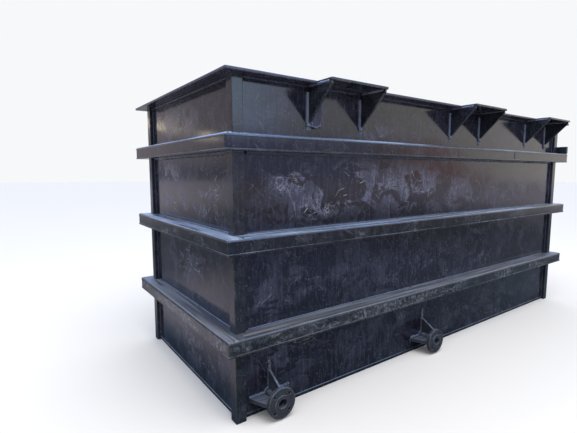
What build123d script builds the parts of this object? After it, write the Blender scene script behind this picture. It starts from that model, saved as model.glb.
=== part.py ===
"""Open-topped rectangular process tank in welded black plastic sheet.

Millimetres, +Z up. X runs along the length, the front long side faces -Y and
carries the shelf brackets and the two flanged drains. The origin is on the
floor at the middle of the tank's own footprint.
"""
import os
from build123d import *

# Tank shell
TANK_LENGTH = 3520.0
TANK_WIDTH = 1290.0
TANK_HEIGHT = 1750.0
WALL = 15.0
FLOOR = 20.0

# Rim plate that runs round the mouth
RIM_THICKNESS = 15.0
RIM_OVERHANG = 90.0

# Corner posts, solid bars notched over the corners of the shell
POST_LEG = 60.0
POST_THICKNESS = 25.0

# Reinforcing bands: a steel tube ring boxed in with plastic strips
BAND_DEPTH = 96.0
BAND_HEIGHT = 84.0
BAND_TOPS = {"lower": 477.0, "middle": 973.0, "upper": 1463.0}
STRIP = 10.0
FACE_RECESS = 2.0
TUBE_DEPTH = 80.0
TUBE_HEIGHT = 60.0
TUBE_WALL = 4.0
JOINT_GAP = 3.0
UPPER_JOINTS = (1737.0, 2558.0)

# Block that stands on the right front corner of the upper band
UPSTAND_THICKNESS = 30.0
UPSTAND_HEIGHT = 70.0

# Shelf brackets on the front of the rim
SHELF_LENGTH = 415.0
SHELF_REACH = 203.0
SHELF_STARTS = {"1": 438.0, "2": 1752.0, "3": 2905.0}
GUSSET = 14.0
GUSSET_SETBACK = 10.0
GUSSET_NOSE = 14.0
GUSSET_INSET = 4.0
GUSSET_FOOT = 18.0
GUSSET_DROP = 190.0
PAD_WIDTH = 78.0
PAD_DROP = 208.0
PAD_THICKNESS = 12.0
PAD_CORNER_R = 28.0

# Flanged drains near the floor of the front wall
DRAINS = {"near": 188.0, "far": 1510.0}
DRAIN_HEIGHT = 92.0
PIPE_OUTER_R = 31.5
PIPE_BORE_R = 25.5
PIPE_CLEARANCE = 0.2
FLANGE_R = 82.5
FLANGE_THICKNESS = 22.0
FLANGE_BACK = 106.0
COLLAR_R = 46.0
COLLAR_THICKNESS = 5.0
BOLT_CIRCLE_R = 62.5
BOLT_HOLE_R = 9.0
BOLT_COUNT = 4
TOP_GUSSET = 12.0
TOP_GUSSET_FOOT = 140.0
SIDE_GUSSET = 24.0
SIDE_GUSSET_FOOT = 128.0
GUSSET_EDGE_DROP = 4.0

HALF_L = TANK_LENGTH / 2
HALF_W = TANK_WIDTH / 2
WALL_TOP = TANK_HEIGHT - RIM_THICKNESS


def block(x, y, z):
    """Box between the two limits given for each axis."""
    size = Box(x[1] - x[0], y[1] - y[0], z[1] - z[0])
    return Pos((x[0] + x[1]) / 2, (y[0] + y[1]) / 2, (z[0] + z[1]) / 2) * size


def save(name, *solids):
    """Write one node, as one solid or as a compound of several."""
    shape = solids[0] if len(solids) == 1 else Compound(children=list(solids))
    export_step(shape, f"parts/{name}.step")


def ring(inner, outer, z):
    """Four butted strips round the shell: front, back, left and right."""
    x_out = (-HALF_L - outer, HALF_L + outer)
    y_mid = (-HALF_W - inner, HALF_W + inner)
    front = block(x_out, (-HALF_W - outer, -HALF_W - inner), z)
    back = block(x_out, (HALF_W + inner, HALF_W + outer), z)
    left = block((-HALF_L - outer, -HALF_L - inner), y_mid, z)
    right = block((HALF_L + inner, HALF_L + outer), y_mid, z)
    return front, back, left, right


def shell():
    """Floor and the four walls, with a hole in the front wall for each drain pipe."""
    z = (FLOOR, WALL_TOP)
    save("floor_plate", block((-HALF_L, HALF_L), (-HALF_W, HALF_W), (0, FLOOR)))
    front = block((-HALF_L, HALF_L), (-HALF_W, -HALF_W + WALL), z)
    for start in DRAINS.values():
        hole = Rot(90, 0, 0) * Cylinder(PIPE_OUTER_R + PIPE_CLEARANCE, 4 * WALL)
        front -= Pos(start - HALF_L, -HALF_W, DRAIN_HEIGHT) * hole
    save("wall_front", front)
    save("wall_back", block((-HALF_L, HALF_L), (HALF_W - WALL, HALF_W), z))
    y = (-HALF_W + WALL, HALF_W - WALL)
    save("wall_left", block((-HALF_L, -HALF_L + WALL), y, z))
    save("wall_right", block((HALF_L - WALL, HALF_L), y, z))


def rim():
    """Flat plates on top of the walls, flush with their inner faces."""
    strips = ring(-WALL, RIM_OVERHANG, (WALL_TOP, TANK_HEIGHT))
    for side, strip in zip(("front", "back", "left", "right"), strips):
        save(f"rim_{side}", strip)


def posts():
    """Corner posts, cut off above and below each band."""
    stops = [0.0]
    for top in BAND_TOPS.values():
        stops += [top - BAND_HEIGHT, top]
    stops.append(WALL_TOP)
    spans = list(zip(stops[::2], stops[1::2]))
    cover = POST_LEG - POST_THICKNESS
    for end, sx in (("left", -1), ("right", 1)):
        for face, sy in (("front", -1), ("back", 1)):
            pieces = []
            for z in spans:
                x = sorted((sx * (HALF_L - cover), sx * (HALF_L + POST_THICKNESS)))
                y = sorted((sy * (HALF_W - cover), sy * (HALF_W + POST_THICKNESS)))
                corner = block((-HALF_L, HALF_L), (-HALF_W, HALF_W), z)
                pieces.append(block(x, y, z) - corner)
            save(f"post_{face}_{end}", *pieces)


def tube_ring(bottom):
    """Rectangular steel tubes: long ones with open ends, short ones butted between."""
    z = (bottom, bottom + TUBE_HEIGHT)
    hollow = (bottom + TUBE_WALL, bottom + TUBE_HEIGHT - TUBE_WALL)
    through = HALF_L + BAND_DEPTH
    y = (HALF_W + TUBE_WALL, HALF_W + TUBE_DEPTH - TUBE_WALL)
    x = (HALF_L + TUBE_WALL, HALF_L + TUBE_DEPTH - TUBE_WALL)
    front, back, left, right = ring(0, TUBE_DEPTH, z)
    front -= block((-through, through), (-y[1], -y[0]), hollow)
    back -= block((-through, through), y, hollow)
    left -= block((-x[1], -x[0]), (-HALF_W, HALF_W), hollow)
    right -= block(x, (-HALF_W, HALF_W), hollow)
    return front, back, left, right


def bands():
    """Steel tube ring, bottom and top strips, and face strips of each band."""
    face_out = BAND_DEPTH - FACE_RECESS
    for level, top in BAND_TOPS.items():
        bottom = top - BAND_HEIGHT
        save(f"band_{level}_tube", *tube_ring(bottom + STRIP))
        save(f"band_{level}_bottom", *ring(0, BAND_DEPTH, (bottom, bottom + STRIP)))
        save(f"band_{level}_top", *ring(0, BAND_DEPTH, (top - STRIP, top)))
        z = (bottom + STRIP, top - STRIP)
        front, back, left, right = ring(face_out - STRIP, face_out, z)
        save(f"band_{level}_face_back", back)
        save(f"band_{level}_face_left", left)
        save(f"band_{level}_face_right", right)
        if level != "upper":
            save(f"band_{level}_face_front", front)
            continue
        y = (-HALF_W - face_out, -HALF_W - face_out + STRIP)
        starts = [-HALF_L - face_out] + [j - HALF_L + JOINT_GAP / 2 for j in UPPER_JOINTS]
        ends = [j - HALF_L - JOINT_GAP / 2 for j in UPPER_JOINTS] + [HALF_L + face_out]
        save(f"band_{level}_face_front", *[block(x, y, z) for x in zip(starts, ends)])


def end_upstand():
    """Upright strip along the outer edge of the upper band on the right end."""
    x = (HALF_L + BAND_DEPTH - UPSTAND_THICKNESS, HALF_L + BAND_DEPTH)
    y = (-HALF_W - BAND_DEPTH, HALF_W + BAND_DEPTH)
    base = BAND_TOPS["upper"]
    save("end_upstand", block(x, y, (base, base + UPSTAND_HEIGHT)))


def gusset_profile():
    """Outline of a shelf gusset in the Y-Z plane, measured out from the wall and down."""
    reach = SHELF_REACH - GUSSET_SETBACK
    outline = Polyline(
        (0, 0),
        (-reach, 0),
        (-reach, -GUSSET_NOSE),
        (-GUSSET_FOOT, -GUSSET_DROP),
        (0, -GUSSET_DROP),
        close=True,
    )
    return make_face(outline)


def wall_pad(x_start):
    """Flat pad on the wall beside a gusset, rounded at its lower corners."""
    pad = block(
        (x_start, x_start + PAD_WIDTH),
        (-HALF_W - PAD_THICKNESS, -HALF_W),
        (WALL_TOP - PAD_DROP, WALL_TOP),
    )
    lower = pad.edges().filter_by(Axis.Y).sort_by(Axis.Z)[:2]
    return fillet(lower, PAD_CORNER_R)


def brackets():
    """Shelves flush with the rim, each on two gussets welded to the wall."""
    z = (WALL_TOP, TANK_HEIGHT)
    y = (-HALF_W - SHELF_REACH, -HALF_W - RIM_OVERHANG)
    for name, start in SHELF_STARTS.items():
        x = (start - HALF_L, start - HALF_L + SHELF_LENGTH)
        save(f"shelf_{name}", block(x, y, z))
        feet = {
            "left": x[0] + GUSSET_INSET,
            "right": x[1] - GUSSET_INSET - GUSSET,
        }
        for side, x_start in feet.items():
            plane = Plane((x_start, -HALF_W, WALL_TOP), x_dir=(0, 1, 0), z_dir=(1, 0, 0))
            save(f"shelf_{name}_gusset_{side}", extrude(plane * gusset_profile(), GUSSET))
    save("shelf_1_pad", wall_pad(SHELF_STARTS["1"] - HALF_L + GUSSET_INSET + GUSSET))


def drain_gusset(height, foot, thickness):
    """Plate from the wall to the back of the flange: x outward, y away from the pipe."""
    near = PIPE_OUTER_R + PIPE_CLEARANCE
    tip = height - GUSSET_EDGE_DROP
    outline = Polyline((0, near), (0, foot), (FLANGE_BACK, tip), (FLANGE_BACK, near), close=True)
    return extrude(make_face(outline), thickness / 2, both=True)


def drains():
    """Pipe stub with its collar, flange ring and three gussets, along -Y."""
    outward = Rot(90, 0, 0)
    front = FLANGE_BACK + FLANGE_THICKNESS
    end = front + COLLAR_THICKNESS
    for name, start in DRAINS.items():
        axis = Pos(start - HALF_L, -HALF_W, DRAIN_HEIGHT) * outward
        up = (Align.CENTER, Align.CENTER, Align.MIN)
        pipe = Pos(0, 0, -WALL) * Cylinder(PIPE_OUTER_R, WALL + end, align=up)
        collar = Pos(0, 0, front) * Cylinder(COLLAR_R, COLLAR_THICKNESS, align=up)
        bore = Pos(0, 0, -WALL) * Cylinder(PIPE_BORE_R, WALL + end, align=up)
        save(f"drain_{name}_stub", axis * (pipe + collar - bore))
        disc = Cylinder(FLANGE_R, FLANGE_THICKNESS, align=up)
        disc -= Cylinder(PIPE_OUTER_R + PIPE_CLEARANCE, FLANGE_THICKNESS, align=up)
        for spot in PolarLocations(BOLT_CIRCLE_R, BOLT_COUNT, start_angle=45):
            disc -= spot * Cylinder(BOLT_HOLE_R, FLANGE_THICKNESS, align=up)
        save(f"drain_{name}_flange", axis * Pos(0, 0, FLANGE_BACK) * disc)
        origin = (start - HALF_L, -HALF_W, DRAIN_HEIGHT)
        top = Plane(origin, x_dir=(0, -1, 0), z_dir=(-1, 0, 0))
        left = Plane(origin, x_dir=(0, -1, 0), z_dir=(0, 0, -1))
        right = Plane(origin, x_dir=(0, -1, 0), z_dir=(0, 0, 1))
        tall = drain_gusset(FLANGE_R, TOP_GUSSET_FOOT, TOP_GUSSET)
        flat = drain_gusset(FLANGE_R, SIDE_GUSSET_FOOT, SIDE_GUSSET)
        save(f"drain_{name}_gusset_top", top * tall)
        save(f"drain_{name}_gusset_left", left * flat)
        save(f"drain_{name}_gusset_right", right * flat)


os.makedirs("parts", exist_ok=True)
shell()
rim()
posts()
bands()
end_upstand()
brackets()
drains()
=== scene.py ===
"""Looks for an open-topped black plastic tank with boxed bands, shelf brackets and drains."""

import math

import bmesh
import bpy
from mathutils import Matrix, Vector, noise


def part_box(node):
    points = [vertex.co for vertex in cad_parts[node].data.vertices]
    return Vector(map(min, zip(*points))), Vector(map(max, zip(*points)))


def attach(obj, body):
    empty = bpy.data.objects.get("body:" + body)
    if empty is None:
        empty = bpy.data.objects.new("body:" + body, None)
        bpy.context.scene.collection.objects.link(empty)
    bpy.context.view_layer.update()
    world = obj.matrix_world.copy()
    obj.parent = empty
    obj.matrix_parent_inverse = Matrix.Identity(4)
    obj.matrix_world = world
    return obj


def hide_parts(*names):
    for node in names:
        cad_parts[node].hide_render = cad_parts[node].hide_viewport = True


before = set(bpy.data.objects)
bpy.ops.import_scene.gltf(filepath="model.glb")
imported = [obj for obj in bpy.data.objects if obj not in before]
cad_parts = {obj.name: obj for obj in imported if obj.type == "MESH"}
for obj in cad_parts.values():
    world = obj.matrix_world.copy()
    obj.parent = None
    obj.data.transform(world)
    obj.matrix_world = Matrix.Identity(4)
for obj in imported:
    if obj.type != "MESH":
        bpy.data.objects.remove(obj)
noise.seed_set(11)  # noise_vector is otherwise seeded from the clock
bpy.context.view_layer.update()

LEVELS = ("lower", "middle", "upper")
SIDES = ("front", "back", "left", "right")
STRIP = 0.010  # thickness of the strips that clad the bands
LIP = 0.018  # depth of the rolled outer edge on a band's top strip
LIP_ROUND = 0.0155
UNDER_ROUND = 0.002
FACE_ROUND = 0.004
SEGMENT = 0.12  # length between the cuts that let a strip wander
FACE_SPLITS = (1.737, 2.558)  # butt joints in the upper front face, from the shell's left end
JOINT_GAP = 0.003
SET_BACK = 0.0015  # how far the length between the joints lies behind its neighbours
PIPE_RADIUS = 0.0315
HARD_ANGLE = math.radians(50)
SQUARE_ANGLE = math.radians(60)
ARRIS_ANGLE = math.radians(35)
RUBBED_TINT = (0.24, 0.245, 0.26, 1)
SCRATCH_TINT = (0.45, 0.46, 0.48, 1)
floor_low, floor_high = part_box("floor_plate")
SHELL = (floor_low[0], floor_low[1], floor_high[0], floor_high[1])


# ---------------------------------------------------------------- mesh tools


def plain_box(bm, low, high):
    """A cube stretched between two corners. Returns its vertices."""
    made = bmesh.ops.create_cube(bm, size=1.0)["verts"]
    low, high = Vector(low), Vector(high)
    bmesh.ops.scale(bm, verts=made, vec=high - low)
    bmesh.ops.translate(bm, verts=made, vec=(low + high) / 2)
    return made


def geometry_of(verts):
    """The vertices with every edge and face that touches them."""
    edges = {e for v in verts for e in v.link_edges}
    faces = {f for v in verts for f in v.link_faces}
    return list(verts) + list(edges) + list(faces)


def cut_along(bm, verts, axis, step):
    """Slices a box into lengths, so that its surface can wander a little."""
    start = min(v.co[axis] for v in verts)
    end = max(v.co[axis] for v in verts)
    count = max(1, round((end - start) / step))
    normal = Vector((0, 0, 0))
    normal[axis] = 1.0
    piece = list(verts)
    for i in range(1, count):
        spot = Vector((0, 0, 0))
        spot[axis] = start + (end - start) * i / count
        cut = bmesh.ops.bisect_plane(
            bm, geom=geometry_of(piece), plane_co=spot, plane_no=normal, dist=1e-6
        )
        piece += [g for g in cut["geom_cut"] if isinstance(g, bmesh.types.BMVert)]
    return list(dict.fromkeys(piece))


def wander(verts, low, high, amount, scale):
    """Moves vertices by smooth noise, never past the box they were made in."""
    for v in verts:
        drift = noise.noise_vector(v.co * scale) * amount
        for axis in range(3):
            v.co[axis] = min(max(v.co[axis] + drift[axis], low[axis]), high[axis])


def ease(bm, edges, radius, segments=3):
    """Rounds some edges of a piece."""
    bmesh.ops.bevel(
        bm,
        geom=edges,
        affect="EDGES",
        offset=radius,
        segments=segments,
        profile=0.5,
        material=-1,
        clamp_overlap=True,
    )


def sheet_box(bm, low, high, radius, step=None, drift=0.0008, segments=2, full=0.0, full_at=None):
    """A plate or strip with eased edges and a slightly uneven surface.

    Edges for which full_at is true are rounded by the radius full first.
    """
    part = bmesh.new()
    plain_box(part, low, high)
    if full:
        chosen = [e for e in part.edges if full_at((e.verts[0].co + e.verts[1].co) / 2)]
        ease(part, chosen, full, 4)
    square = [e for e in part.edges if e.calc_face_angle() > SQUARE_ANGLE]
    ease(part, square, radius, segments)
    if step:
        for axis in range(3):
            if high[axis] - low[axis] > 3 * step:
                cut_along(part, list(part.verts), axis, step)
        wander(part.verts, low, high, drift, 3.0)
    absorb(bm, part)


def absorb(bm, part):
    """Adds a finished part to the piece that it belongs to."""
    holder = bpy.data.meshes.new("holder")
    part.to_mesh(holder)
    part.free()
    bm.from_mesh(holder)
    bpy.data.meshes.remove(holder)


def bead(bm, start, end, radius, ripple=0.22):
    """A hand-laid weld bead between two points."""
    start, end = Vector(start), Vector(end)
    run = end - start
    turn = run.to_track_quat("Z", "Y").to_matrix().to_4x4()
    part = bmesh.new()
    ring = bmesh.ops.create_circle(
        part, cap_ends=False, segments=8, radius=radius, matrix=Matrix.Translation(start) @ turn
    )["verts"]
    steps = max(2, int(run.length / (radius * 2.0)))
    hoop = list({e for v in ring for e in v.link_edges})
    bmesh.ops.spin(
        part, geom=ring + hoop, cent=start, axis=run.normalized(), dvec=run / steps, angle=0.0,
        steps=steps
    )
    bmesh.ops.holes_fill(part, edges=part.edges, sides=0)
    bmesh.ops.recalc_face_normals(part, faces=part.faces)
    along = run.normalized()
    for v in part.verts:
        middle = start + along * (v.co - start).dot(along)
        swell = noise.noise(v.co * 90.0) * ripple + noise.noise(v.co * 14.0) * ripple
        v.co = middle + (v.co - middle) * (1.0 + swell)
    absorb(bm, part)


def blob(bm, spot, size):
    """A lump of weld or a drip."""
    part = bmesh.new()
    bmesh.ops.create_icosphere(part, subdivisions=3, radius=1.0)
    for v in part.verts:
        swell = 1.0 + 0.22 * noise.noise(v.co * 1.7 + Vector(spot) * 31.0)
        v.co = Vector(spot) + Vector([c * swell * k for c, k in zip(v.co, size)])
    absorb(bm, part)


def finish_piece(name, bm, material, replaced=()):
    """Turns a bmesh into a named piece that rides with the tank."""
    for edge in bm.edges:
        edge.smooth = not (len(edge.link_faces) == 2 and edge.calc_face_angle() > HARD_ANGLE)
    mesh = bpy.data.meshes.new(name)
    bm.to_mesh(mesh)
    bm.free()
    mesh.materials.append(material)
    piece = bpy.data.objects.new(name, mesh)
    bpy.context.scene.collection.objects.link(piece)
    for face in mesh.polygons:
        face.use_smooth = True
    shade = piece.modifiers.new("even shading", "WEIGHTED_NORMAL")
    shade.keep_sharp = True
    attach(piece, "root")
    if replaced:
        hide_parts(*replaced)
    return piece


def ring_boxes(outer, low_z, high_z):
    """The four butted strips of a ring lying on the shell, as pairs of corners."""
    x0, y0, x1, y1 = SHELL
    return {
        "front": ((x0 - outer, y0 - outer, low_z), (x1 + outer, y0, high_z)),
        "back": ((x0 - outer, y1, low_z), (x1 + outer, y1 + outer, high_z)),
        "left": ((x0 - outer, y0, low_z), (x0, y1, high_z)),
        "right": ((x1, y0, low_z), (x1 + outer, y1, high_z)),
    }


# ------------------------------------------------------------- shader tools


def put(tree, kind, inputs=None, **settings):
    """Adds a node; an input may be given a value or another node's socket."""
    item = tree.nodes.new(kind)
    for key, value in settings.items():
        setattr(item, key, value)
    for key, value in (inputs or {}).items():
        if isinstance(value, bpy.types.NodeSocket):
            tree.links.new(value, item.inputs[key])
        else:
            item.inputs[key].default_value = value
    return item


def maths(tree, operation, a, b=0.0, clamp=False):
    """One Math node, giving its output."""
    item = put(tree, "ShaderNodeMath", {0: a, 1: b}, operation=operation, use_clamp=clamp)
    return item.outputs[0]


def vectors(tree, operation, inputs):
    """One Vector Math node, giving its vector output."""
    return put(tree, "ShaderNodeVectorMath", inputs, operation=operation).outputs[0]


def ramp(tree, value, low, high, to_low=0.0, to_high=1.0):
    """Smooth step between two values."""
    inputs = {
        "Value": value, "From Min": low, "From Max": high, "To Min": to_low, "To Max": to_high
    }
    item = put(tree, "ShaderNodeMapRange", inputs, interpolation_type="SMOOTHSTEP", clamp=True)
    return item.outputs["Result"]


def blended(tree, share, start, end):
    """A colour on its way from one to another."""
    inputs = {0: share, 6: start, 7: end}
    return put(tree, "ShaderNodeMix", inputs, data_type="RGBA").outputs[2]


def speckle(tree, vector, scale, detail=4.0, rough=0.55, twist=0.0):
    """Noise value at a point."""
    inputs = {
        "Vector": vector, "Scale": scale, "Detail": detail, "Roughness": rough, "Distortion": twist
    }
    return put(tree, "ShaderNodeTexNoise", inputs).outputs[0]


def stretched(tree, vector, scale, turn=(0, 0, 0), shift=(0, 0, 0)):
    """A point after turning and stretching the pattern."""
    inputs = {"Vector": vector, "Scale": scale, "Rotation": turn, "Location": shift}
    return put(tree, "ShaderNodeMapping", inputs).outputs[0]


def new_group(name, inputs, outputs):
    """Node group with value inputs {name: default} and vector inputs given as None."""
    tree = bpy.data.node_groups.new(name, "ShaderNodeTree")
    for key, default in inputs.items():
        kind = "NodeSocketVector" if default is None else "NodeSocketFloat"
        socket = tree.interface.new_socket(key, in_out="INPUT", socket_type=kind)
        if default is not None:
            socket.default_value = default
    for key, kind in outputs.items():
        tree.interface.new_socket(key, in_out="OUTPUT", socket_type=kind)
    given = tree.nodes.new("NodeGroupInput")
    taken = tree.nodes.new("NodeGroupOutput")
    return tree, given.outputs, taken.inputs


def use_group(tree, group, inputs):
    """Places a group in a material with its own values."""
    item = tree.nodes.new("ShaderNodeGroup")
    item.node_tree = group
    for key, value in inputs.items():
        if isinstance(value, bpy.types.NodeSocket):
            tree.links.new(value, item.inputs[key])
        else:
            item.inputs[key].default_value = value
    return item.outputs


def scratch_group():
    """Short straight scratches, one per cell, each at its own angle."""
    tree, given, taken = new_group(
        "scratches",
        {"Point": None, "Cells": 9.0, "Length": 0.3, "Width": 0.01, "Share": 0.5, "Bend": 0.02},
        {"Mask": "NodeSocketFloat"},
    )
    split = put(tree, "ShaderNodeSeparateXYZ", {0: given["Point"]}).outputs
    across = maths(tree, "ADD", split[0], split[1])
    lean = maths(tree, "MULTIPLY", maths(tree, "SUBTRACT", split[0], split[1]), 0.37)
    flat = put(
        tree, "ShaderNodeCombineXYZ", {0: across, 1: maths(tree, "ADD", split[2], lean)}
    ).outputs[0]
    bent = put(tree, "ShaderNodeTexNoise", {"Vector": flat, "Scale": 7.0, "Detail": 1.0}).outputs[1]
    push = vectors(tree, "SUBTRACT", {0: bent, 1: (0.5, 0.5, 0.5)})
    push = vectors(tree, "SCALE", {0: push, "Scale": given["Bend"]})
    flat = vectors(tree, "ADD", {0: flat, 1: push})
    cells = put(
        tree,
        "ShaderNodeTexVoronoi",
        {"Vector": flat, "Scale": given["Cells"], "Randomness": 1.0},
        voronoi_dimensions="2D",
        feature="F1",
    )
    scaled = vectors(tree, "SCALE", {0: flat, "Scale": given["Cells"]})
    centre = vectors(tree, "SCALE", {0: cells.outputs["Position"], "Scale": given["Cells"]})
    local = vectors(tree, "SUBTRACT", {0: scaled, 1: centre})
    luck = put(tree, "ShaderNodeSeparateColor", {0: cells.outputs["Color"]}).outputs
    angle = maths(tree, "MULTIPLY", luck[0], 6.2832)
    turned = put(
        tree, "ShaderNodeVectorRotate", {"Vector": local, "Angle": angle}, rotation_type="Z_AXIS"
    ).outputs[0]
    place = put(tree, "ShaderNodeSeparateXYZ", {0: turned}).outputs
    thin = put(
        tree,
        "ShaderNodeMapRange",
        {
            "Value": maths(tree, "ABSOLUTE", place[1]), "From Min": 0.0, "From Max": given["Width"],
            "To Min": 1.0, "To Max": 0.0
        },
    ).outputs[0]
    reach = put(
        tree,
        "ShaderNodeMapRange",
        {
            "Value": maths(tree, "ABSOLUTE", place[0]), "From Min": 0.0,
            "From Max": given["Length"], "To Min": 1.0, "To Max": 0.0
        },
    ).outputs[0]
    chosen = maths(tree, "LESS_THAN", luck[1], given["Share"])
    mark = maths(tree, "MULTIPLY", thin, ramp(tree, reach, 0.0, 0.5))
    strength = maths(
        tree, "MULTIPLY", chosen, maths(tree, "ADD", maths(tree, "MULTIPLY", luck[2], 0.8), 0.2)
    )
    tree.links.new(maths(tree, "MULTIPLY", mark, strength), taken["Mask"])
    return tree


def curl_group():
    """Loose curling scuff lines."""
    tree, given, taken = new_group(
        "curling scuffs", {"Point": None, "Scale": 6.0, "Width": 0.01}, {"Mask": "NodeSocketFloat"}
    )
    fields = []
    for k, stretch in enumerate(((1.0, 1.0, 1.6), (1.5, 1.5, 0.8))):
        spot = stretched(
            tree, given["Point"], stretch, turn=(0.3 * k, 0.5 * k, 0.2),
            shift=(2.7 * k, 1.3, 0.4 * k)
        )
        value = speckle(tree, spot, given["Scale"], 3.0, 0.62, 1.2)
        off = maths(tree, "ABSOLUTE", maths(tree, "SUBTRACT", value, 0.5))
        inputs = {
            "Value": off, "From Min": 0.0, "From Max": given["Width"], "To Min": 1.0, "To Max": 0.0
        }
        fields.append(put(tree, "ShaderNodeMapRange", inputs).outputs[0])
    tree.links.new(maths(tree, "MAXIMUM", fields[0], fields[1]), taken["Mask"])
    return tree


def dust_group():
    """Cloudy haze, and settled dust drawn out in lines along the level strips."""
    tree, given, taken = new_group(
        "dust haze",
        {"Point": None, "Scale": 2.0, "Cover": 0.5, "Fine": 0.5},
        {"Mask": "NodeSocketFloat", "Up": "NodeSocketFloat", "Lines": "NodeSocketFloat"},
    )
    big = speckle(tree, given["Point"], given["Scale"], 6.0, 0.62, 0.8)
    small = speckle(
        tree, given["Point"], maths(tree, "MULTIPLY", given["Scale"], 17.0), 5.0, 0.7, 0.3
    )
    blend = maths(
        tree, "ADD", big,
        maths(tree, "MULTIPLY", maths(tree, "SUBTRACT", small, 0.5), given["Fine"])
    )
    edge = maths(tree, "SUBTRACT", 0.85, maths(tree, "MULTIPLY", given["Cover"], 0.7))
    inputs = {"Value": blend, "From Min": edge, "From Max": maths(tree, "ADD", edge, 0.28)}
    mask = put(tree, "ShaderNodeMapRange", inputs, interpolation_type="SMOOTHSTEP").outputs[0]
    tree.links.new(mask, taken["Mask"])
    facing = put(
        tree, "ShaderNodeSeparateXYZ", {0: put(tree, "ShaderNodeNewGeometry").outputs["Normal"]}
    ).outputs[2]
    tree.links.new(ramp(tree, facing, 0.35, 0.9), taken["Up"])
    along_x = speckle(tree, stretched(tree, given["Point"], (0.03, 1.0, 1.0)), 46.0, 4.0, 0.65)
    along_y = speckle(tree, stretched(tree, given["Point"], (1.0, 0.03, 1.0)), 46.0, 4.0, 0.65)
    x = put(tree, "ShaderNodeSeparateXYZ", {0: given["Point"]}).outputs[0]
    at_end = maths(tree, "GREATER_THAN", maths(tree, "ABSOLUTE", x), SHELL[2])
    lines = put(tree, "ShaderNodeMix", {0: at_end, 2: along_x, 3: along_y}).outputs[0]
    lines = maths(
        tree, "ADD", ramp(tree, lines, 0.42, 0.60, 0.05, 0.95), maths(tree, "MULTIPLY", small, 0.3)
    )
    tree.links.new(lines, taken["Lines"])
    return tree


def smear_group():
    """Wiped, cloudy smears with a grainy body."""
    tree, given, taken = new_group(
        "wiped smears", {"Point": None, "Scale": 5.0}, {"Mask": "NodeSocketFloat"}
    )
    leant = stretched(tree, given["Point"], (1.0, 1.0, 1.35), turn=(0.0, 0.5, 0.0))
    body = ramp(tree, speckle(tree, leant, given["Scale"], 4.0, 0.6, 1.0), 0.47, 0.55)
    torn = ramp(
        tree, speckle(tree, leant, maths(tree, "MULTIPLY", given["Scale"], 5.0), 5.0, 0.7, 0.4),
        0.40, 0.66
    )
    wiped = stretched(tree, given["Point"], (1.0, 1.0, 0.10), turn=(0.0, -0.35, 0.0))
    wipe = ramp(
        tree, speckle(tree, wiped, maths(tree, "MULTIPLY", given["Scale"], 9.0), 3.0, 0.6), 0.40,
        0.66
    )
    grain = maths(tree, "ADD", maths(tree, "MULTIPLY", maths(tree, "ADD", torn, wipe), 0.34), 0.30)
    tree.links.new(maths(tree, "MULTIPLY", body, grain), taken["Mask"])
    return tree


def patch_group():
    """Rubbed pale patches, longer than they are high."""
    tree, given, taken = new_group(
        "rubbed patches", {"Point": None, "Scale": 5.0, "Low": 0.5}, {"Mask": "NodeSocketFloat"}
    )
    wide = stretched(tree, given["Point"], (0.55, 0.55, 1.6))
    where = speckle(tree, wide, given["Scale"], 4.0, 0.65, 0.8)
    inputs = {
        "Value": where, "From Min": given["Low"], "From Max": maths(tree, "ADD", given["Low"], 0.16)
    }
    body = put(tree, "ShaderNodeMapRange", inputs, interpolation_type="SMOOTHSTEP").outputs[0]
    torn = ramp(tree, speckle(tree, given["Point"], 38.0, 6.0, 0.75, 0.6), 0.42, 0.62)
    tree.links.new(maths(tree, "MULTIPLY", body, torn), taken["Mask"])
    return tree


def streak_group():
    """Fine upright streaks left by the sheet's extrusion and by rain, and a little grit."""
    tree, given, taken = new_group(
        "upright streaks",
        {"Point": None, "Fineness": 90.0},
        {"Mask": "NodeSocketFloat", "Fine": "NodeSocketFloat", "Grit": "NodeSocketFloat"},
    )
    wide = stretched(tree, given["Point"], (1.0, 1.0, 0.13))
    rain = speckle(tree, wide, maths(tree, "MULTIPLY", given["Fineness"], 0.85), 5.0, 0.75)
    fine = speckle(
        tree, stretched(tree, given["Point"], (1.0, 1.0, 0.02)), given["Fineness"], 3.0, 0.6
    )
    grit = ramp(tree, speckle(tree, given["Point"], given["Fineness"], 4.0, 0.75), 0.45, 0.7)
    tree.links.new(rain, taken["Mask"])
    tree.links.new(fine, taken["Fine"])
    tree.links.new(grit, taken["Grit"])
    return tree


def edge_group():
    """Worn arrises: bright where a rounded normal leaves the true one."""
    tree, given, taken = new_group(
        "edge wear", {"Point": None, "Radius": 0.006, "Breakup": 40.0}, {"Mask": "NodeSocketFloat"}
    )
    soft = put(tree, "ShaderNodeBevel", {"Radius": given["Radius"]}, samples=6).outputs[0]
    true = put(tree, "ShaderNodeNewGeometry").outputs["True Normal"]
    same = put(
        tree, "ShaderNodeVectorMath", {0: soft, 1: true}, operation="DOT_PRODUCT"
    ).outputs["Value"]
    arris = ramp(tree, same, 0.99, 0.86)
    broken = ramp(tree, speckle(tree, given["Point"], given["Breakup"], 5.0, 0.7), 0.38, 0.62)
    tree.links.new(maths(tree, "MULTIPLY", arris, broken), taken["Mask"])
    return tree


SCRATCHES = scratch_group()
CURLS = curl_group()
DUST = dust_group()
STREAKS = streak_group()
EDGES = edge_group()
SMEARS = smear_group()
PATCHES = patch_group()


def scratch_layer(tree, point, cells, length, width, share, bend):
    """One layer of scratches; more cells make them smaller and closer together."""
    values = {"Cells": cells, "Length": length, "Width": width, "Share": share, "Bend": bend}
    return use_group(tree, SCRATCHES, {"Point": point, **values})["Mask"]


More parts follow.
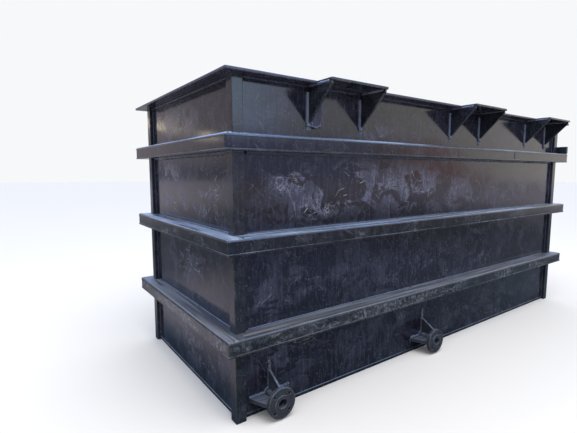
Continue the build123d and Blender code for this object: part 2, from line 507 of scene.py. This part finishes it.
def zone_mask(tree, point, zones):
    """Soft patches, each a centre, a half-size and a strength, in metres."""
    total = None
    for centre, half, strength in zones:
        away = vectors(tree, "SUBTRACT", {0: point, 1: centre})
        unit = vectors(tree, "DIVIDE", {0: away, 1: half})
        far = put(tree, "ShaderNodeVectorMath", {0: unit}, operation="LENGTH").outputs["Value"]
        patch = ramp(tree, far, 1.0, 0.25, 0.0, strength)
        total = patch if total is None else maths(tree, "MAXIMUM", total, patch)
    return total


def worn_plastic(
    name,
    colour,
    gloss=0.14,
    veil=0.10,
    veil_tint=(0.16, 0.17, 0.20),
    dust_up=0.35,
    dust_tint=(0.17, 0.18, 0.20),
    scratch=0.5,
    curls=0.2,
    wear=0.35,
    streaks=0.5,
    wave=0.3,
    smears=0.5,
    patches=0.0,
    patch_low=0.45,
    zones=(),
    shine=0.5,
):
    """Black sheet plastic with haze, smears, scratches, streaks, dust and worn arrises."""
    material = bpy.data.materials.new(name)
    material.use_nodes = True
    tree = material.node_tree
    shader = tree.nodes["Principled BSDF"]
    point = put(tree, "ShaderNodeTexCoord").outputs["Object"]
    dust = use_group(tree, DUST, {"Point": point, "Scale": 2.1, "Cover": 0.5, "Fine": 0.6})
    rain = use_group(tree, STREAKS, {"Point": point, "Fineness": 90.0})
    busy = maths(
        tree, "MULTIPLY", ramp(tree, speckle(tree, point, 3.1, 3.0, 0.6), 0.50, 0.66), 0.22
    )
    if zones:
        busy = maths(tree, "MAXIMUM", busy, zone_mask(tree, point, zones))
    near = maths(tree, "ADD", maths(tree, "MULTIPLY", busy, 0.85), 0.15)
    long = scratch_layer(tree, point, 5.0, 0.40, 0.011, 0.55, 0.08)
    short = scratch_layer(tree, point, 15.0, 0.42, 0.032, 0.40, 0.04)
    lines = maths(tree, "ADD", maths(tree, "MULTIPLY", long, 0.7), short)
    lines = maths(tree, "MULTIPLY", maths(tree, "MULTIPLY", lines, scratch), near)
    nicks = scratch_layer(tree, point, 42.0, 0.30, 0.10, 0.30, 0.01)
    lines = maths(tree, "ADD", lines, maths(tree, "MULTIPLY", nicks, scratch * 0.17))
    scuff = use_group(tree, CURLS, {"Point": point, "Scale": 6.0, "Width": 0.008})["Mask"]
    some = ramp(tree, speckle(tree, point, 8.0, 2.0, 0.5), 0.52, 0.62)
    loops = maths(
        tree, "MULTIPLY", maths(tree, "MULTIPLY", scuff, some), maths(tree, "MULTIPLY", busy, curls)
    )
    marks = maths(tree, "ADD", lines, loops, clamp=True)
    rubbed = use_group(tree, EDGES, {"Point": point, "Radius": 0.006, "Breakup": 22.0})["Mask"]
    rubbed = maths(tree, "MULTIPLY", rubbed, wear)
    if patches:
        block = use_group(tree, PATCHES, {"Point": point, "Scale": 5.0, "Low": patch_low})["Mask"]
        rubbed = maths(tree, "MAXIMUM", rubbed, maths(tree, "MULTIPLY", block, patches))
    film = maths(tree, "MULTIPLY", dust["Mask"], veil)
    cloud = use_group(tree, SMEARS, {"Point": point, "Scale": 5.5})["Mask"]
    film = maths(
        tree, "ADD", film, maths(tree, "MULTIPLY", maths(tree, "MULTIPLY", cloud, near), smears)
    )
    run = ramp(tree, rain["Mask"], 0.46, 0.70)
    film = maths(tree, "ADD", film, maths(tree, "MULTIPLY", run, streaks * 0.16))
    film = maths(tree, "ADD", film, maths(tree, "MULTIPLY", rain["Grit"], 0.05), clamp=True)
    settled = maths(
        tree, "MULTIPLY", maths(tree, "MULTIPLY", dust["Up"], dust["Lines"]), dust_up, clamp=True
    )
    base = blended(tree, film, (*colour, 1), (*veil_tint, 1))
    base = blended(tree, settled, base, (*dust_tint, 1))
    base = blended(tree, rubbed, base, RUBBED_TINT)
    base = blended(tree, marks, base, SCRATCH_TINT)
    tree.links.new(base, shader.inputs["Base Color"])
    rough = maths(tree, "ADD", maths(tree, "MULTIPLY", rain["Fine"], 0.06 * streaks), gloss - 0.02)
    rough = maths(
        tree, "ADD", rough, maths(tree, "MULTIPLY", maths(tree, "ADD", film, settled), 0.5)
    )
    rough = maths(
        tree, "ADD", rough, maths(tree, "MULTIPLY", maths(tree, "MAXIMUM", marks, rubbed), 0.35),
        clamp=True
    )
    tree.links.new(rough, shader.inputs["Roughness"])
    shader.inputs["Specular IOR Level"].default_value = shine
    slow = speckle(tree, stretched(tree, point, (1.0, 1.0, 0.5)), 2.6, 1.0, 0.4)
    height = maths(tree, "MULTIPLY", slow, wave * 0.0030)
    height = maths(tree, "ADD", height, maths(tree, "MULTIPLY", rain["Fine"], 0.00003 * streaks))
    height = maths(tree, "SUBTRACT", height, maths(tree, "MULTIPLY", marks, 0.0003))
    height = maths(tree, "ADD", height, maths(tree, "MULTIPLY", settled, 0.0006))
    bump = put(tree, "ShaderNodeBump", {"Strength": 0.8, "Distance": 1.0, "Height": height})
    tree.links.new(bump.outputs[0], shader.inputs["Normal"])
    return material


def primed_steel():
    """Grey primer on the steel tubes inside the bands."""
    material = bpy.data.materials.new("primed steel")
    material.use_nodes = True
    tree = material.node_tree
    shader = tree.nodes["Principled BSDF"]
    point = put(tree, "ShaderNodeTexCoord").outputs["Object"]
    rust = ramp(tree, speckle(tree, point, 9.0, 6.0, 0.7), 0.58, 0.70)
    grey, brown = (0.16, 0.17, 0.17, 1), (0.16, 0.06, 0.025, 1)
    base = blended(tree, rust, grey, brown)
    tree.links.new(base, shader.inputs["Base Color"])
    tree.links.new(
        maths(tree, "ADD", maths(tree, "MULTIPLY", rust, 0.3), 0.45), shader.inputs["Roughness"]
    )
    grit = speckle(tree, point, 400.0, 2.0, 0.5)
    bump = put(tree, "ShaderNodeBump", {"Strength": 0.3, "Distance": 0.001, "Height": grit})
    tree.links.new(bump.outputs[0], shader.inputs["Normal"])
    return material


# Where the sheets are wiped and scratched most: centre, half-size and strength.
WALL_ZONES = (
    ((-1.42, -0.65, 1.23), (0.20, 0.2, 0.14), 0.9),
    ((-1.24, -0.65, 1.11), (0.30, 0.2, 0.12), 0.9),
    ((-0.92, -0.65, 1.20), (0.42, 0.2, 0.19), 1.0),
    ((-0.42, -0.65, 1.18), (0.50, 0.2, 0.20), 1.0),
    ((0.18, -0.65, 1.13), (0.45, 0.2, 0.16), 0.5),
    ((0.80, -0.65, 1.12), (0.55, 0.2, 0.13), 0.15),
    ((-0.85, -0.65, 1.52), (0.30, 0.2, 0.08), 0.5),
    ((-1.30, -0.65, 0.64), (0.30, 0.2, 0.08), 0.22),
    ((-0.55, -0.65, 0.62), (0.60, 0.2, 0.14), 0.15),
    ((-1.58, -0.65, 0.60), (0.12, 0.2, 0.30), 0.3),
    ((-1.45, -0.65, 0.30), (0.25, 0.2, 0.16), 0.45),
    ((-1.76, 0.10, 1.60), (0.2, 0.55, 0.12), 0.4),
    ((-1.76, 0.34, 1.28), (0.2, 0.30, 0.12), 1.0),
    ((-1.76, 0.22, 1.10), (0.2, 0.34, 0.12), 1.0),
    ((-1.76, -0.34, 1.12), (0.2, 0.30, 0.20), 0.8),
    ((-1.76, 0.05, 0.72), (0.2, 0.50, 0.20), 0.5),
    ((-1.76, -0.10, 0.25), (0.2, 0.60, 0.22), 0.55),
)

BLACK = (0.008, 0.0085, 0.011)
wall_finish = worn_plastic(
    "glossy wall sheet", (0.007, 0.0065, 0.011), gloss=0.085, veil=0.08,
    veil_tint=(0.15, 0.155, 0.225), smears=0.66, scratch=1.1, curls=0.6, wear=0.1, streaks=0.8,
    zones=WALL_ZONES
)
inside_finish = worn_plastic(
    "inner wall sheet", BLACK, gloss=0.22, dust_up=0.07, dust_tint=(0.14, 0.14, 0.14), smears=0.25,
    scratch=0.5
)
rim_finish = worn_plastic(
    "rim plate", (0.019, 0.018, 0.029), gloss=0.24, veil=0.14, dust_up=0.30, scratch=0.3, curls=0.0,
    wear=0.45, wave=0.1, smears=0.1
)
# darker and bluer than the other band faces, with less haze: painted shade for the dim reflection
# on the upper band face
upper_shaded_finish = worn_plastic(
    "upper band face", (0.005, 0.005, 0.009), gloss=0.11, veil=0.05, veil_tint=(0.12, 0.12, 0.18),
    scratch=0.9, curls=0.4, wear=0.25, wave=0.2, smears=0.25, patches=0.10, patch_low=0.56
)
band_finish = worn_plastic(
    "band strip", BLACK, gloss=0.14, dust_up=0.80, dust_tint=(0.34, 0.37, 0.43), scratch=0.8,
    curls=0.3, wear=0.20, wave=0.15, patches=0.10, patch_low=0.55
)
low_strip_finish = worn_plastic(
    "lower band strip", (0.012, 0.011, 0.011), gloss=0.24, dust_up=0.8,
    dust_tint=(0.20, 0.185, 0.175), scratch=0.8, curls=0.3, wear=0.6, wave=0.15, patches=0.15,
    patch_low=0.50, shine=0.32
)
middle_finish = worn_plastic(
    "middle band face", BLACK, gloss=0.12, scratch=0.9, curls=0.4, wear=0.3, wave=0.15,
    patches=0.30, patch_low=0.54
)
lower_finish = worn_plastic(
    "lower band face", BLACK, gloss=0.16, scratch=1.0, curls=0.4, wear=0.4, wave=0.15, patches=0.45,
    patch_low=0.42
)
post_finish = worn_plastic(
    "corner post", BLACK, gloss=0.13, dust_up=0.3, scratch=0.8, curls=0.2, wear=0.4, wave=0.1,
    patches=0.10, patch_low=0.54
)
bracket_finish = worn_plastic(
    "bracket plate", (0.007, 0.0075, 0.011), gloss=0.18, veil=0.05, dust_up=0.3, scratch=0.6,
    curls=0.2, wear=0.9, wave=0.1
)
pad_finish = worn_plastic(
    "rough pad", (0.055, 0.052, 0.080), gloss=0.5, veil=0.3, veil_tint=(0.16, 0.15, 0.20),
    scratch=1.0, curls=0.3, wear=0.3, streaks=2.0, wave=0.3, smears=0.6, shine=0.12
)
drain_finish = worn_plastic(
    "drain fitting", (0.024, 0.024, 0.028), gloss=0.32, veil=0.45, veil_tint=(0.18, 0.18, 0.19),
    dust_up=0.45, scratch=0.3, curls=0.0, wear=0.85, streaks=0.2, wave=0.02, smears=0.3
)
bead_finish = worn_plastic(
    "weld bead", (0.030, 0.034, 0.048), gloss=0.20, veil=0.25, dust_up=0.4, scratch=0.0, curls=0.0,
    wear=0.0, streaks=0.1, wave=0.0
)
pale_bead_finish = worn_plastic(
    "pale weld bead", (0.085, 0.093, 0.130), gloss=0.24, veil=0.45, veil_tint=(0.24, 0.25, 0.32),
    dust_up=0.5, scratch=0.0, curls=0.0, wear=0.0, streaks=0.1, wave=0.0
)
drain_bead_finish = worn_plastic(
    "drain weld bead", (0.050, 0.054, 0.070), gloss=0.26, veil=0.5, veil_tint=(0.19, 0.20, 0.25),
    dust_up=0.5, scratch=0.0, curls=0.0, wear=0.0, streaks=0.1, wave=0.0
)
steel_finish = primed_steel()

# ----------------------------------------------------------------- the shell

for side in SIDES:
    low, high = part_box(f"wall_{side}")
    bm = bmesh.new()
    sheet_box(bm, low, high, 0.0015, step=0.11, drift=0.0016, segments=2)
    finish_piece(f"sheet_{side}", bm, wall_finish, [f"wall_{side}"])

bm = bmesh.new()
sheet_box(bm, floor_low, floor_high, 0.002, segments=2)
finish_piece("sheet_floor", bm, inside_finish, ["floor_plate"])

for side in SIDES:
    low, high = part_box(f"rim_{side}")
    bm = bmesh.new()
    sheet_box(bm, low, high, 0.003, step=0.16, drift=0.0012)
    finish_piece(f"rim_plate_{side}", bm, rim_finish, [f"rim_{side}"])

# ----------------------------------------------------------------- the bands

BAND = {}
for level in LEVELS:
    BAND[level] = (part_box(f"band_{level}_bottom")[0][2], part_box(f"band_{level}_top")[1][2])
DEPTH = SHELL[0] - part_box("band_upper_top")[0][0]


def outside(spot):
    """True on the outermost line of the bands."""
    across = abs(spot.x) > SHELL[2] + DEPTH - 0.001
    return across or abs(spot.y) > SHELL[3] + DEPTH - 0.001


def at_joint(spot, front, joints):
    """True on the front upright edges at a butt joint."""
    return spot.y < front + 0.003 and any(abs(spot.x - joint) < 0.01 for joint in joints)


def at_corner(spot):
    """True on the upright edges at the corners of a band's face."""
    return abs(spot.x) > SHELL[2] + DEPTH - 0.003 and abs(spot.y) > SHELL[3] + 0.05


for level in LEVELS:
    z0, z1 = BAND[level]
    for part, low_z, high_z in (("bottom", z0, z0 + STRIP), ("top", z1 - STRIP, z1)):
        bm = bmesh.new()
        outer_z = high_z if part == "top" else low_z
        round_to = LIP_ROUND if part == "top" else UNDER_ROUND
        low_z = high_z - LIP if part == "top" else low_z
        for low, high in ring_boxes(DEPTH, low_z, high_z).values():
            sheet_box(
                bm, low, high, 0.0012, step=SEGMENT, drift=0.0009, full=round_to,
                full_at=lambda c: abs(c.z - outer_z) < 1e-4 and outside(c),
            )
        strip_finish = low_strip_finish if level == "lower" else band_finish
        finish_piece(
            f"{level}_{part}_strips", bm, strip_finish, [f"band_{level}_{part}"]
        )
    for side in SIDES:
        low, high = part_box(f"band_{level}_face_{side}")
        spans, joints = [(low, high)], []
        if level == "upper" and side == "front":
            joints = [SHELL[0] + split for split in FACE_SPLITS]
            stops = [low[0], *joints, high[0]]
            spans = []
            for i, (a, b) in enumerate(zip(stops, stops[1:])):
                start = a + (JOINT_GAP / 2 if i else 0)
                end = b - (JOINT_GAP / 2 if i < 2 else 0)
                front = low[1] + (SET_BACK if i == 1 else 0.0)
                spans.append(((start, front, low[2]), (end, high[1], high[2])))
        bm = bmesh.new()
        for a, b in spans:
            sheet_box(
                bm, a, b, 0.0015, step=SEGMENT, drift=0.0008, full=FACE_ROUND,
                full_at=lambda c: at_corner(c) or at_joint(c, low[1], joints),
            )
        face_finish = {"lower": lower_finish, "middle": middle_finish, "upper": upper_shaded_finish}[level]
        finish_piece(
            f"{level}_face_{side}", bm, face_finish, [f"band_{level}_face_{side}"]
        )
    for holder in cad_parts[f"band_{level}_tube"].material_slots:
        holder.material = steel_finish

low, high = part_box("end_upstand")
bm = bmesh.new()
sheet_box(bm, low, high, 0.006, step=SEGMENT)
finish_piece("band_end_upstand", bm, band_finish, ["end_upstand"])

# ------------------------------------------------------------- corner posts


def corner_outline(box_low, box_high, face, end):
    """The six corners of an L section lying round one corner of the shell."""
    x_in, x_out = (box_high[0], box_low[0]) if end == "left" else (box_low[0], box_high[0])
    y_in, y_out = (box_high[1], box_low[1]) if face == "front" else (box_low[1], box_high[1])
    x_wall = SHELL[0] if end == "left" else SHELL[2]
    y_wall = SHELL[1] if face == "front" else SHELL[3]
    return [
        (x_out, y_out), (x_in, y_out), (x_in, y_wall), (x_wall, y_wall), (x_wall, y_in),
        (x_out, y_in)
    ]


RIM_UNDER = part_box("rim_front")[0][2]
POST_SPANS = [(0.0, BAND["lower"][0]), (BAND["lower"][1], BAND["middle"][0])]
POST_SPANS += [(BAND["middle"][1], BAND["upper"][0]), (BAND["upper"][1], RIM_UNDER)]

for face_name in ("front", "back"):
    for end_name in ("left", "right"):
        node = f"post_{face_name}_{end_name}"
        low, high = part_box(node)
        bm = bmesh.new()
        for z_low, z_high in POST_SPANS:
            outline = corner_outline(low, high, face_name, end_name)
            ring = [bm.verts.new((x, y, z_low)) for x, y in outline]
            base = bm.faces.new(ring)
            top = bmesh.ops.extrude_face_region(bm, geom=[base])["geom"]
            lifted = [v for v in top if isinstance(v, bmesh.types.BMVert)]
            bmesh.ops.translate(bm, verts=lifted, vec=(0, 0, z_high - z_low))
            verts = ring + lifted
            x_wall = SHELL[0 if end_name == "left" else 2]
            y_wall = SHELL[1 if face_name == "front" else 3]
            corner = Vector((x_wall, y_wall))
            edges = {e for v in verts for e in v.link_edges}
            upright = [e for e in edges if abs(e.verts[0].co.z - e.verts[1].co.z) > 0.05]
            ease(bm, [e for e in upright if (e.verts[0].co.xy - corner).length > 0.02], 0.004)
        bmesh.ops.recalc_face_normals(bm, faces=bm.faces)
        finish_piece(f"corner_{face_name}_{end_name}", bm, post_finish, [node])

# ---------------------------------------------------------- brackets, drains


def eased_copy(node, name, radius, material):
    """A merged copy of a CAD node with its sharp arrises rounded."""
    bm = bmesh.new()
    bm.from_mesh(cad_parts[node].data)
    bmesh.ops.remove_doubles(bm, verts=bm.verts, dist=1e-6)
    bmesh.ops.dissolve_limit(bm, angle_limit=math.radians(1), verts=bm.verts, edges=bm.edges)
    sharp = [e for e in bm.edges if len(e.link_faces) == 2 and e.calc_face_angle() > ARRIS_ANGLE]
    ease(bm, sharp, radius, 2)
    return finish_piece(name, bm, material, [node])


for k in "123":
    low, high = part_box(f"shelf_{k}")
    bm = bmesh.new()
    sheet_box(bm, low, high, 0.003, step=SEGMENT, drift=0.001)
    finish_piece(f"shelf_plate_{k}", bm, bracket_finish, [f"shelf_{k}"])
    for side in ("left", "right"):
        eased_copy(
            f"shelf_{k}_gusset_{side}", f"shelf_web_{k}_{side}", 0.002, bracket_finish
        )
eased_copy("shelf_1_pad", "wall_pad", 0.0055, pad_finish)

for name in ("near", "far"):
    eased_copy(f"drain_{name}_stub", f"stub_{name}", 0.0015, drain_finish)
    eased_copy(f"drain_{name}_flange", f"flange_{name}", 0.0025, drain_finish)
    for side in ("top", "left", "right"):
        eased_copy(
            f"drain_{name}_gusset_{side}", f"drain_web_{name}_{side}", 0.002, drain_finish,
        )

# --------------------------------------------------------------- weld beads

x0, y0, x1, y1 = SHELL

bm = bmesh.new()
for level in LEVELS:
    for z, size in zip(BAND[level], (0.013 if level == "upper" else 0.007, 0.006)):
        bead(bm, (x0 + 0.06, y0, z), (x1 - 0.06, y0, z), size)
        bead(bm, (x0 + 0.06, y1, z), (x1 - 0.06, y1, z), size)
        bead(bm, (x0, y0 + 0.06, z), (x0, y1 - 0.06, z), size)
        bead(bm, (x1, y0 + 0.06, z), (x1, y1 - 0.06, z), size)
finish_piece("band_welds", bm, bead_finish)

bm = bmesh.new()
for z, size in ((RIM_UNDER, 0.006), (floor_high[2], 0.004)):
    bead(bm, (x0, y0, z), (x1, y0, z), size)
    bead(bm, (x0, y1, z), (x1, y1, z), size)
    bead(bm, (x0, y0, z), (x0, y1, z), size)
    bead(bm, (x1, y0, z), (x1, y1, z), size)
finish_piece("rim_and_floor_welds", bm, bead_finish)

bm = bmesh.new()
for face_name in ("front", "back"):
    for end_name in ("left", "right"):
        low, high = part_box(f"post_{face_name}_{end_name}")
        x_leg = high[0] if end_name == "left" else low[0]
        y_leg = high[1] if face_name == "front" else low[1]
        y_wall = y0 if face_name == "front" else y1
        x_wall = x0 if end_name == "left" else x1
        for z_low, z_high in POST_SPANS:
            bead(bm, (x_leg, y_wall, z_low + 0.006), (x_leg, y_wall, z_high - 0.006), 0.0045, 0.3)
            bead(bm, (x_wall, y_leg, z_low + 0.006), (x_wall, y_leg, z_high - 0.006), 0.0045, 0.3)
finish_piece("post_welds", bm, bead_finish)

bm = bmesh.new()
for k in "123":
    plate_low, plate_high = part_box(f"shelf_{k}")
    for side in ("left", "right"):
        low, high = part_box(f"shelf_{k}_gusset_{side}")
        top, foot = high[2] - 0.030, low[2]
        fat = 0.0125 if k == "1" else 0.010
        bead(bm, (low[0], y0, foot - 0.004), (low[0], y0, top), fat, 0.12)
        bead(bm, (high[0], y0, foot - 0.004), (high[0], y0, top), fat, 0.12)
        bead(bm, (low[0], low[1] + 0.012, high[2]), (low[0], y0 - 0.02, high[2]), 0.006)
        bead(bm, (high[0], low[1] + 0.012, high[2]), (high[0], y0 - 0.02, high[2]), 0.006)
        middle = (low[0] + high[0]) / 2
        for i in range(7):
            shift = noise.noise_vector(Vector((i * 3.1, low[0] * 7.0, 0.4))) * 0.5
            spot = (middle + shift.x * 0.034, y0 - 0.004, foot - 0.010 + shift.z * 0.022)
            blob(bm, spot, (0.0085, 0.007, 0.011))
        for i in range(3):
            drop = 0.030 + 0.030 * abs(noise.noise(Vector((i * 5.3, low[0] * 3.0, 2.0))))
            x = middle + (i - 1) * 0.009
            bead(bm, (x, y0, foot - 0.008), (x, y0, foot - 0.008 - drop), 0.0045, 0.5)
finish_piece("bracket_welds", bm, pale_bead_finish)

bm = bmesh.new()
low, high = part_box("shelf_1_pad")
bead(bm, (high[0], y0 - 0.002, low[2] + 0.030), (high[0], y0 - 0.002, high[2] - 0.004), 0.007, 0.3)
for i in range(11):
    swing = math.pi * i / 10
    shift = noise.noise_vector(Vector((i * 2.7, 8.0, 1.1))) * 0.012
    x = (low[0] + high[0]) / 2 + math.cos(swing) * 0.030 + shift.x
    z = low[2] + 0.016 - math.sin(swing) * 0.020 + shift.z
    blob(bm, (x, y0 - 0.008, z), (0.008, 0.009, 0.009))
finish_piece("pad_welds", bm, pale_bead_finish)

bm = bmesh.new()
for name in ("near", "far"):
    low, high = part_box(f"drain_{name}_gusset_top")
    axis_x = (low[0] + high[0]) / 2
    flange_low, flange_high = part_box(f"drain_{name}_flange")
    centre_z = (flange_low[2] + flange_high[2]) / 2
    for x in (low[0], high[0]):
        bead(bm, (x, y0, low[2]), (x, y0, high[2]), 0.006, 0.35)
    for i in range(9):
        shift = noise.noise_vector(Vector((i * 3.7, axis_x * 5.0, 0.9))) * 0.5
        lift = 0.066 * i / 8
        thin = 1.0 - 0.55 * i / 8
        spot = (axis_x + shift.x * 0.026, y0 - 0.003, high[2] - 0.012 + lift)
        blob(bm, spot, (0.011 * thin, 0.009 * thin, 0.013))
    for side in ("left", "right"):
        low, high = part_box(f"drain_{name}_gusset_{side}")
        for z in (low[2], high[2]):
            bead(bm, (low[0] + 0.004, y0, z), (high[0] - 0.004, y0, z), 0.0065, 0.4)
        for i in range(6):
            shift = noise.noise_vector(Vector((i * 2.3, low[0] * 9.0, 3.1))) * 0.5
            way = (i + 0.5) / 6
            x = low[0] + (high[0] - low[0]) * way
            blob(bm, (x, y0 - 0.006, high[2] + 0.004 + shift.z * 0.012), (0.010, 0.010, 0.008))
    lumps = 28
    reach = PIPE_RADIUS + 0.004
    for i in range(lumps):
        swing = 2 * math.pi * i / lumps
        x = axis_x + math.cos(swing) * reach
        z = centre_z + math.sin(swing) * reach
        blob(bm, (x, y0 - 0.003, z), (0.007, 0.007, 0.007))
finish_piece("drain_welds", bm, drain_bead_finish)

# --------------------------------------------------- floor, light and camera


def stage_floor():
    """Plain pale ground. What the glossy sides mirror of it is a painted reflection, with painted
    shade making it darker near the tank.
    """
    bm = bmesh.new()
    bmesh.ops.create_grid(bm, x_segments=1, y_segments=1, size=60.0)
    mesh = bpy.data.meshes.new("ground")
    bm.to_mesh(mesh)
    bm.free()
    ground = bpy.data.objects.new("ground", mesh)
    ground.location.z = -0.0005
    bpy.context.scene.collection.objects.link(ground)
    material = bpy.data.materials.new("pale ground")
    material.use_nodes = True
    tree = material.node_tree
    shader = tree.nodes["Principled BSDF"]
    place = put(
        tree, "ShaderNodeSeparateXYZ", {0: put(tree, "ShaderNodeTexCoord").outputs["Object"]}
    ).outputs
    aside = maths(tree, "SUBTRACT", maths(tree, "ABSOLUTE", place[0]), SHELL[2])
    ahead = maths(tree, "SUBTRACT", maths(tree, "ABSOLUTE", place[1]), SHELL[3])
    away = ramp(tree, maths(tree, "MAXIMUM", aside, ahead), 0.1, 2.4)
    # painted reflection: cool tones to the front and left, warm grey to the right and behind,
    # brighter far off
    warm = maths(tree, "MAXIMUM", ramp(tree, place[0], 0.5, 4.0), ramp(tree, place[1], -0.5, 2.0))
    far = blended(tree, warm, (0.15, 0.175, 0.245, 1), (0.13, 0.13, 0.125, 1))
    remote = blended(tree, warm, (0.28, 0.31, 0.50, 1), (0.68, 0.54, 0.48, 1))
    distance = ramp(tree, maths(tree, "MAXIMUM", aside, ahead), 4.0, 16.0)
    far = blended(tree, distance, far, remote)
    # painted shade: the mirrored ground is darkest next to the tank, with a lighter warm painted
    # reflection past the left end
    left = ramp(tree, place[0], -1.80, -2.10)
    along = ramp(tree, place[0], -1.0, 2.0)
    near = blended(tree, along, (0.075, 0.115, 0.14, 1), (0.13, 0.16, 0.16, 1))
    near = blended(tree, left, near, (0.62, 0.50, 0.47, 1))
    painted_reflection_tone = blended(tree, away, near, far)
    # camera and diffuse rays see the pale ground; glossy rays see the painted reflection and
    # painted shade
    ray = put(tree, "ShaderNodeLightPath").outputs["Is Glossy Ray"]
    tone = blended(tree, ray, (0.88, 0.78, 0.66, 1), painted_reflection_tone)
    tree.links.new(tone, shader.inputs["Base Color"])
    shader.inputs["Roughness"].default_value = 0.9
    shader.inputs["Specular IOR Level"].default_value = 0.0
    mesh.materials.append(material)


def tint_ramp(tree, value, stops):
    """Colour ramp with its stops given as (place, colour)."""
    item = put(tree, "ShaderNodeValToRGB", {0: value})
    marks = item.color_ramp.elements
    while len(marks) < len(stops):
        marks.new(0.5)
    for mark, (spot, colour) in zip(marks, stops):
        mark.position = spot
        mark.color = (*colour, 1)
    return item.outputs[0]


def surroundings():
    """Soft surround: blue overhead and in front, warm grey to the right and behind."""
    world = bpy.data.worlds.new("studio")
    bpy.context.scene.world = world
    world.use_nodes = True
    tree = world.node_tree
    back = tree.nodes["Background"]
    way = put(tree, "ShaderNodeTexCoord").outputs["Generated"]
    part = put(tree, "ShaderNodeSeparateXYZ", {0: way}).outputs
    low = tint_ramp(
        tree,
        part[0],
        [
            (0.00, (0.40, 0.46, 0.80)),
            (0.70, (0.41, 0.44, 0.72)),
            (0.75, (0.50, 0.42, 0.46)),
            (0.80, (0.68, 0.45, 0.44)),
            (0.885, (0.62, 0.43, 0.39)),
            (0.90, (0.60, 0.52, 0.44)),
        ],
    )
    high = tint_ramp(
        tree,
        part[0],
        [
            (0.00, (0.62, 0.80, 1.00)),
            (0.47, (0.74, 0.94, 1.25)),
            (0.53, (0.62, 0.72, 0.98)),
            (0.60, (0.46, 0.47, 0.50)),
            (0.75, (0.46, 0.45, 0.43)),
            (1.00, (0.42, 0.39, 0.36)),
        ],
    )
    strong = vectors(tree, "SCALE", {0: high, "Scale": 2.6})
    mild = vectors(tree, "SCALE", {0: low, "Scale": 1.18})
    lean = maths(tree, "MULTIPLY", maths(tree, "SUBTRACT", part[0], 0.5), 0.08)
    lean = maths(tree, "ADD", lean, ramp(tree, part[0], 0.82, 0.90, 0.0, 0.09))
    rise = ramp(tree, maths(tree, "ADD", part[2], lean), 0.088, 0.108)
    front = blended(tree, rise, mild, strong)
    distant = tint_ramp(
        tree,
        part[0],
        [
            (0.00, (0.48, 0.43, 0.47)),
            (0.42, (0.60, 0.60, 0.66)),
            (0.56, (0.72, 0.95, 1.00)),
            (0.76, (0.66, 0.78, 0.95)),
            (0.92, (0.50, 0.48, 0.48)),
        ],
    )
    bright = vectors(
        tree, "SCALE", {0: distant, "Scale": ramp(tree, part[0], 0.42, 0.60, 1.0, 1.5)}
    )
    behind = blended(tree, ramp(tree, part[2], 0.0, 0.04), (0.25, 0.26, 0.35, 1), bright)
    side = ramp(tree, part[1], -0.1, 0.1)
    ring = blended(tree, side, front, behind)
    top = ramp(tree, part[2], 0.22, 0.62)
    to_right = ramp(tree, part[0], 0.70, 0.91)
    above = blended(tree, to_right, (2.2, 3.5, 6.6, 1), (0.85, 0.88, 1.0, 1))
    sky = blended(tree, top, ring, above)
    soft = blended(tree, top, (0.62, 0.64, 0.70, 1), (1.08, 1.28, 1.68, 1))
    rays = put(tree, "ShaderNodeLightPath").outputs
    seen = blended(tree, rays["Is Glossy Ray"], soft, sky)
    both = blended(tree, rays["Is Camera Ray"], seen, (0.93, 0.94, 0.95, 1))
    tree.links.new(both, back.inputs["Color"])
    back.inputs["Strength"].default_value = 1.0


def softbox(name, spot, aim, size, power, tint=(1, 1, 1)):
    """A square area lamp pointing at a spot."""
    lamp = bpy.data.lights.new(name, "AREA")
    lamp.shape = "SQUARE"
    lamp.size = size
    lamp.energy = power
    lamp.color = tint
    holder = bpy.data.objects.new(name, lamp)
    holder.location = spot
    holder.rotation_euler = (Vector(aim) - Vector(spot)).to_track_quat("-Z", "Y").to_euler()
    bpy.context.scene.collection.objects.link(holder)


EYE_SPOT = (-2.6658, -2.3655, 1.2763)
EYE_LENS = 24.75  # millimetres, over a width of 36
EYE_DOWN = 6.26  # degrees below the level
EYE_TURN = -35.40  # degrees from facing the back, towards the right


def camera():
    """Standing near the left front corner, at chest height."""
    eye = bpy.data.cameras.new("view")
    eye.lens = EYE_LENS
    eye.sensor_width = 36.0
    eye.sensor_fit = "HORIZONTAL"
    eye.clip_end = 200.0
    holder = bpy.data.objects.new("view", eye)
    holder.location = EYE_SPOT
    holder.rotation_euler = (math.radians(90 - EYE_DOWN), 0.0, math.radians(EYE_TURN))
    bpy.context.scene.collection.objects.link(holder)
    bpy.context.scene.camera = holder


# Small warm lamps low behind the left end: turn and rise in degrees, size in metres.
GLINTS = (
    (-13.6, 7.4, 0.22),
    (-15.2, 6.9, 0.30),
    (-17.6, 6.4, 0.26),
    (-19.4, 5.9, 0.18),
    (-24.4, 5.3, 0.30),
    (-26.6, 4.8, 0.22),
)
GLINT_REACH = 14.0
GLINT_POWER = 14.0  # watts for each square metre of lamp
END_WALL = Vector((-1.76, 0.0, 1.5))

stage_floor()
surroundings()
softbox("overhead", (-1.5, -3.0, 7.0), (0, 0, 0.8), 5.0, 260, (0.92, 0.96, 1.0))
for turn, rise, size in GLINTS:
    lean = [math.radians(turn), math.radians(rise)]
    way = Vector((math.sin(lean[0]), math.cos(lean[0]), math.tan(lean[1])))
    spot = END_WALL + way * GLINT_REACH
    softbox(f"low strip {turn}", spot, END_WALL, size, GLINT_POWER * size * size, (1.0, 0.84, 0.62))
camera()

bpy.context.scene.view_settings.view_transform = "Standard"

bpy.context.view_layer.update()
